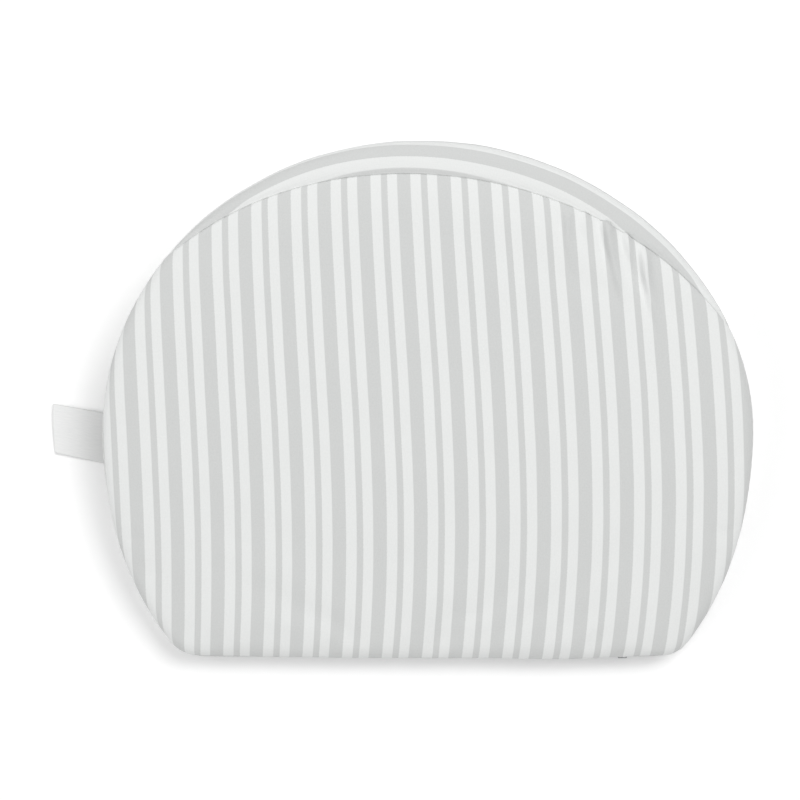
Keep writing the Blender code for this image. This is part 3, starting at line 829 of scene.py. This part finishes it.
def woven_tape_material():
    """Polyester zip tape: warp ribs of 0.6 mm crossed by a fine weft, white, matte."""
    material, tree, shader = start_material("woven_polyester_tape", 0.8, Sheen_Weight=0.1)
    mm = cloth_mm(tree)
    ribs = add_node(tree, "ShaderNodeTexWave", {"Vector": mm, "Scale": 1 / 0.6 / math.pi,
                                               "Distortion": 0.3}, bands_direction="X")
    weft = add_node(tree, "ShaderNodeTexWave", {"Vector": mm, "Scale": 1 / 0.5 / math.pi,
                                               "Distortion": 0.3}, bands_direction="Y")
    coloured(tree, shader, ribs.outputs["Fac"], "#d6d8d8", "#eceded")
    height = maths(tree, "MULTIPLY_ADD", weft.outputs["Fac"], 0.4, ribs.outputs["Fac"])
    bumped(tree, shader, height, 0.5, 0.0002)
    return material


def nylon_material():
    """Nylon 6 monofilament: milky white, smooth and glossy, with a faint haze."""
    material, tree, shader = start_material("nylon_monofilament", 0.38, IOR=1.53)
    place = add_node(tree, "ShaderNodeTexCoord", {}).outputs["Object"]
    haze = noise(tree, place, 1 / 0.003, 2.0)
    coloured(tree, shader, haze, "#d9dbdb", "#ededec")
    return material


tape_weave = woven_tape_material()
nylon = nylon_material()
for side, where in ((1, "upper"), (-1, "lower")):
    low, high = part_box("zip_tape_" + where)
    start = low.z if side > 0 else high.z
    far = np.linspace(0, tape_reach, 18)
    x = np.linspace(low.x - tape_tail, high.x + tape_tail, 90)
    across, lengthwise = np.meshgrid(far, x)
    ribbing = 0.00008 * np.abs(np.sin(across / 0.0012 * math.pi)) + 0.0003 * np.exp(-across / 0.0004)
    place = np.dstack([lengthwise, low.y + ribbing, start + side * across])
    faces = grid_faces(*across.shape)
    tape = mesh_piece("tape_" + where, place.reshape(-1, 3), faces if side > 0 else faces[:, ::-1],
                      np.dstack([across, lengthwise]).reshape(-1, 2))
    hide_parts("zip_tape_" + where)
    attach(tape, "pillow")
    finish_cloth(tape, tape_weave, tape_cloth)

    low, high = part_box("zip_coil_" + where)
    tip = low.z - coil_lock if side > 0 else high.z + coil_lock
    back = high.z if side > 0 else low.z
    middle = (tip + back) / 2
    half_high = (back - tip) / 2 - side * coil_wire
    half_deep = (high.y - low.y) / 2 - coil_wire
    turns = math.floor((high.x - low.x) / coil_pitch) - 1
    phase = np.linspace(0, turns * 2 * math.pi, turns * 12 + 1)
    centre = np.column_stack([
        low.x + coil_pitch * (0.5 + phase / (2 * math.pi) + (0.25 if side > 0 else -0.25)),
        (low.y + high.y) / 2 + half_deep * np.sin(phase),
        middle - half_high * np.cos(phase)])
    ahead = np.gradient(centre, axis=0)
    ahead /= np.linalg.norm(ahead, axis=1)[:, None]
    out = centre - np.column_stack([centre[:, 0], np.full(len(phase), (low.y + high.y) / 2),
                                    np.full(len(phase), middle)])
    out -= ahead * np.sum(out * ahead, axis=1)[:, None]
    out /= np.linalg.norm(out, axis=1)[:, None]
    beside = np.cross(ahead, out)
    spin = np.linspace(0, 2 * math.pi, 6)[:-1]
    wire = (centre[None] + coil_wire * (np.cos(spin)[:, None, None] * out[None]
                                        + np.sin(spin)[:, None, None] * beside[None]))
    faces = grid_faces(len(spin), len(phase), wrap=True)[:, ::-1]
    last = np.arange(len(spin)) * len(phase)
    ends = [last[::-1].tolist(), (last + len(phase) - 1).tolist()]
    coil = mesh_piece("coil_" + where, wire.reshape(-1, 3), faces.tolist() + ends)
    turned_out = bmesh.new()
    turned_out.from_mesh(coil.data)
    bmesh.ops.recalc_face_normals(turned_out, faces=turned_out.faces)
    turned_out.to_mesh(coil.data)
    turned_out.free()
    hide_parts("zip_coil_" + where)
    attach(coil, "pillow")
    coil.data.materials.append(nylon)


# -------------------------------- zip: slider, pull tab and stops
# The slider, its pull tab and the clamped stops are die-cast zinc alloy, barrel-tumbled.  The
# slider runs on the coils, and the tab swings about the bar through the slider's bridge.

def tumbled_zinc_material():
    """Tumbled zinc alloy: satin grey, with pits of about 0.2 mm."""
    material, tree, shader = start_material("tumbled_zinc_alloy", 0.34, Metallic=1.0)
    place = add_node(tree, "ShaderNodeTexCoord", {}).outputs["Object"]
    grain = noise(tree, place, 1 / 0.0007, 4.0)
    coloured(tree, shader, grain, "#a9abad", "#c9cbcc")
    bumped(tree, shader, grain, 0.25, 0.0001)
    rough = add_node(tree, "ShaderNodeMapRange", {"Value": grain, "To Min": 0.26, "To Max": 0.42})
    tree.links.new(rough.outputs["Result"], shader.inputs["Roughness"])
    return material


zinc = tumbled_zinc_material()
for node, name, body, edge in (("zip_slider", "slider_casting", "zip_slider", 0.0003),
                               ("zip_pull_tab", "pull_tab_stamping", "zip_pull_tab", 0.00025),
                               ("zip_top_stop_upper", "top_stop_clip_upper", "pillow", 0.0002),
                               ("zip_top_stop_lower", "top_stop_clip_lower", "pillow", 0.0002),
                               ("zip_bottom_stop", "bottom_stop_clip", "pillow", 0.0002)):
    source = bpy.data.objects[node]
    mesh = source.data.copy()
    mesh.name = name
    mesh.transform(source.matrix_world)
    merge = bmesh.new()
    merge.from_mesh(mesh)
    bmesh.ops.remove_doubles(merge, verts=merge.verts, dist=0.00001)
    bmesh.ops.dissolve_limit(merge, angle_limit=math.radians(2), verts=merge.verts, edges=merge.edges)
    bmesh.ops.recalc_face_normals(merge, faces=merge.faces)
    merge.to_mesh(mesh)
    merge.free()
    mesh.materials.clear()
    mesh.materials.append(zinc)
    casting = bpy.data.objects.new(name, mesh)
    scene.collection.objects.link(casting)
    eased = casting.modifiers.new("tumbled_edge", "BEVEL")
    eased.width = edge
    eased.segments = 3
    eased.limit_method = "ANGLE"
    eased.angle_limit = math.radians(30)
    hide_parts(node)
    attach(casting, body)


# -------------------------------- labels inside the cover
# Two white satin labels are sewn by one edge to the inside of the back panel.  They are blank.

def satin_material(name, dark, light):
    """Polyester satin ribbon: streaks along it, from its long float yarns, give a faint relief, and the
    same streaks are painted lighter and darker in its colour as painted shine; fine ribs cross it.
    """
    material, tree, shader = start_material(name, 0.5, Sheen_Weight=0.15)
    mm = cloth_mm(tree)
    weft = add_node(tree, "ShaderNodeTexWave", {"Vector": mm, "Scale": 1 / 0.7 / math.pi,
                                               "Distortion": 0.6, "Detail": 1.0}, bands_direction="X")
    streaks = add_node(tree, "ShaderNodeMapping", {"Vector": mm, "Scale": (0.15, 2.0, 1.0)})
    streak_relief_and_painted_shine = noise(tree, streaks.outputs["Vector"], 1.0, 2.0)
    # painted shine: the colour runs lighter and darker along the streaks; the same streaks also drive the
    # relief below
    coloured(tree, shader, streak_relief_and_painted_shine, dark, light)
    height = maths(tree, "MULTIPLY_ADD", streak_relief_and_painted_shine, 0.8, weft.outputs["Fac"])
    bumped(tree, shader, height, 0.3, 0.00012)
    return material


label_satin = satin_material("white_label_satin", "#d8d9d8", "#ececeb")
label_cloth = 0.00025
for node in ("care_label", "law_label"):
    low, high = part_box(node)
    x, y = np.meshgrid(np.linspace(low.x, high.x, 32), np.linspace(low.y, high.y, 24))
    lift = 0.00012 * np.sin(x / 0.011 + 1.0) * np.sin(y / 0.017)
    place = np.dstack([x, y, high.z + lift - 0.0001])
    label = mesh_piece(node + "_satin", place.reshape(-1, 3), grid_faces(*x.shape)[:, ::-1],
                       np.dstack([x - low.x, y - low.y]).reshape(-1, 2))
    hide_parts(node)
    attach(label, "pillow")
    finish_cloth(label, label_satin, label_cloth)


# -------------------------------- side label
# A strip of white satin ribbon is folded in two and caught in the seam between gusset and back, at
# the widest point on the left.  Its raised selvedges show as a rib along both long edges.

ribbon_width = 0.034
ribbon_reach = 0.0382          # how far the folded ribbon stands out of the seam
ribbon_cloth = 0.0003
ribbon_tilt = math.radians(11)
ribbon_rise = 0.0028           # it is sewn in a little above the widest point
ribbon_root = Vector(hinge_points["label_flex"])
ribbon_foot = 0.0010           # the two layers meet this high in the seam
bend_radius = 0.0005
caught = 0.0009                # length held inside the seam
leg = np.linspace(-caught, ribbon_reach - bend_radius, 26)
turn = np.linspace(-math.pi / 2, math.pi / 2, 9)[1:-1]
fold_out = np.concatenate([leg, leg[-1] + bend_radius * np.cos(turn), leg[::-1]])
fold_side = np.concatenate([-np.ones(len(leg)), np.sin(turn), np.ones(len(leg))])
gap = bend_radius * np.clip(0.35 + 0.65 * fold_out / 0.012, 0.35, 1)
ribbon_along = lengths(np.column_stack([fold_out, fold_side * gap]))
across = np.linspace(-ribbon_width / 2, ribbon_width / 2, 28)
out, wide = np.meshgrid(fold_out, across, indexing="ij")
side = np.tile((fold_side * gap)[:, None], (1, len(across)))
share = np.clip(out / ribbon_reach, 0, 1)
curl = 0.0012 * share ** 2 * (1 + 0.7 * wide / (ribbon_width / 2)) + 0.0005 * np.sin(share * 5.0) * share
selvedge = 0.00010 * np.exp(-((ribbon_width / 2 - np.abs(wide)) / 0.0009) ** 2)
height = ribbon_foot + 0.0008 * np.clip(out / 0.004, 0, 1) + curl + side + np.sign(side) * selvedge
x = -(out * math.cos(ribbon_tilt) + wide * math.sin(ribbon_tilt / 4) * share)
y = ribbon_rise + out * math.sin(ribbon_tilt) + wide * (1 - 0.03 * share)
left_side = points[2 * side_count:3 * side_count][::-1]
seam_line = np.interp(ribbon_root.y + ribbon_rise + wide, left_side[:, 1], left_side[:, 0])
place = np.dstack([seam_line + x, ribbon_root.y + y, height])
ribbon = mesh_piece("folded_ribbon", place.reshape(-1, 3), grid_faces(*out.shape),
                    np.dstack([np.tile(ribbon_along[:, None], (1, len(across))), wide]).reshape(-1, 2))
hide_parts("side_label")
# The ribbon's satin is set lighter than the labels' (#e6e7e7 to #f6f6f5 against #d8d9d8 to #ececeb):
# painted light that makes up for the shade the pillow casts on it.
finish_cloth(ribbon, satin_material("white_satin_ribbon_painted_lighter", "#e6e7e7", "#f6f6f5"), ribbon_cloth)
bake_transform(ribbon)


# -------------------------------- floor, light and camera
# A seamless white floor under a wide soft light, seen from almost straight above.

bpy.ops.mesh.primitive_plane_add(size=60, location=(0, 0, -0.0004))
floor = bpy.context.object
floor.name = "floor"
floor.data.materials.append(start_material(
    "white_paper_floor", 0.9, Base_Color=(0.97, 0.97, 0.97, 1), Specular_IOR_Level=0.0,
    Emission_Color=(1, 1, 1, 1), Emission_Strength=0.12)[0])

world = bpy.data.worlds.new("studio")
world.use_nodes = True
background = world.node_tree.nodes["Background"]
background.inputs["Color"].default_value = (1, 1, 1, 1)
background.inputs["Strength"].default_value = 0.385
scene.world = world
scene.view_settings.view_transform = "Standard"


def soft_light(name, place, size, power):
    """A square area light aimed at the pillow."""
    lamp = bpy.data.lights.new(name, "AREA")
    lamp.size = size
    lamp.energy = power
    light = bpy.data.objects.new(name, lamp)
    light.location = place
    light.rotation_euler = (-Vector(place)).to_track_quat("-Z", "Y").to_euler()
    scene.collection.objects.link(light)


soft_light("key", (0.9, 0.8, 3.0), 1.4, 50)
soft_light("fill", (-1.8, -0.5, 2.4), 2.2, 23)

camera_reach = 2.2
camera_tilt = math.radians(88)
camera_aim = Vector((-0.0165, 0.0018, 0.05))
away_from_aim = Vector((0, -math.cos(camera_tilt), math.sin(camera_tilt)))
lens = bpy.data.cameras.new("camera")
lens.sensor_width = 36
lens.lens = 152.1
camera = bpy.data.objects.new("camera", lens)
camera.location = camera_aim + away_from_aim * camera_reach
camera.rotation_euler = away_from_aim.to_track_quat("Z", "Y").to_euler()
scene.collection.objects.link(camera)
scene.camera = camera
